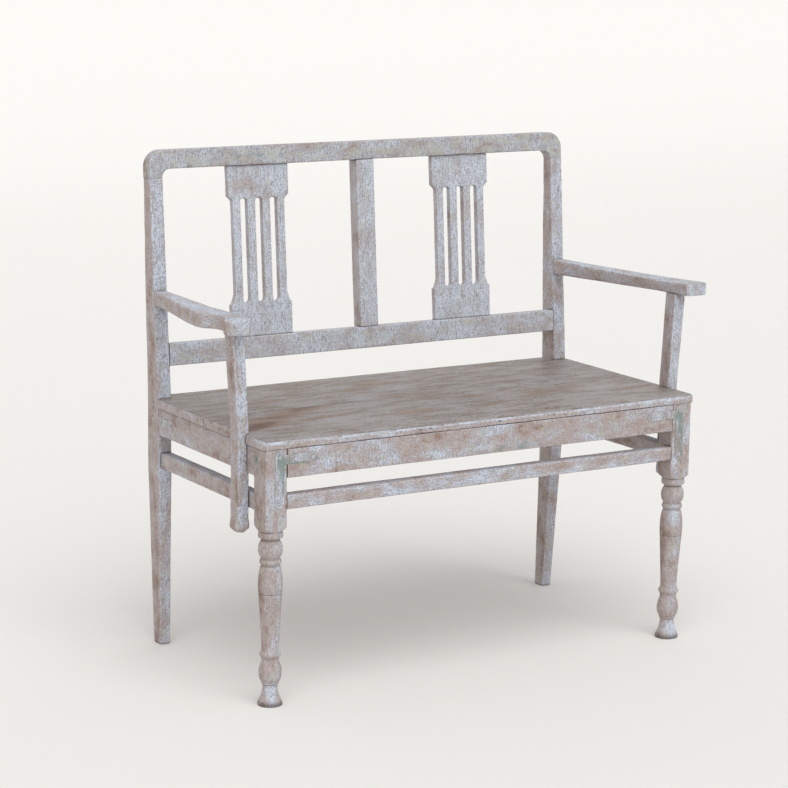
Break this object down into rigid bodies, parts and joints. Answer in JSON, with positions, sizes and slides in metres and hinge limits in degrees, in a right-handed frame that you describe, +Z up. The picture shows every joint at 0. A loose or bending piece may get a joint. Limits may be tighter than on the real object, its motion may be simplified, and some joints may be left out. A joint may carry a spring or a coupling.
{
  "type": "deacons bench",
  "caption": "Wooden bench with an open back of pierced splats, flat arms on outswept posts, turned front legs and worn whitewashed paint.",
  "frame": {"origin": "bottom centre of the bounding box, on the floor under the middle of the bench", "axes": "+X along the seat, to the right of someone who faces the bench; +Y from the seat's front edge to the back; +Z up"},
  "size_m": [0.99, 0.464, 0.9],
  "materials": {
    "whitewashed_wood": "rubbed whitewash over brown wood, matt",
    "seat_wood": "worn grey-white paint with brown streaks along the grain, matt",
    "painted_iron": "painted over and rubbed, with a grey-green patina",
    "peg_wood": "worn end grain"
  },
  "bodies": {
    "root": {"back_post_left": "whitewashed_wood", "back_post_right": "whitewashed_wood", "crest_rail": "whitewashed_wood", "lower_back_rail": "whitewashed_wood", "back_centre_post": "whitewashed_wood", "splat_left": "whitewashed_wood", "splat_right": "whitewashed_wood", "front_leg_left": "whitewashed_wood", "front_leg_right": "whitewashed_wood", "front_apron": "whitewashed_wood", "back_apron": "whitewashed_wood", "side_apron_left": "whitewashed_wood", "side_apron_right": "whitewashed_wood", "front_stretcher": "whitewashed_wood", "side_stretcher_left": "whitewashed_wood", "side_stretcher_right": "whitewashed_wood", "seat_plank_front": "seat_wood", "seat_plank_rear": "seat_wood", "seat_bearer_left": "whitewashed_wood", "seat_bearer_right": "whitewashed_wood", "arm_left": "whitewashed_wood", "arm_right": "whitewashed_wood", "arm_post_left": "whitewashed_wood", "arm_post_right": "whitewashed_wood", "front_joint_plate_left": "painted_iron", "front_joint_plate_right": "painted_iron", "rear_joint_plate_left": "painted_iron", "rear_joint_plate_right": "painted_iron", "plate_screws": "painted_iron", "seat_nails": "painted_iron", "arm_post_nails": "painted_iron", "side_joint_pegs": "peg_wood", "back_joint_pegs": "peg_wood"}
  },
  "joints": []
}
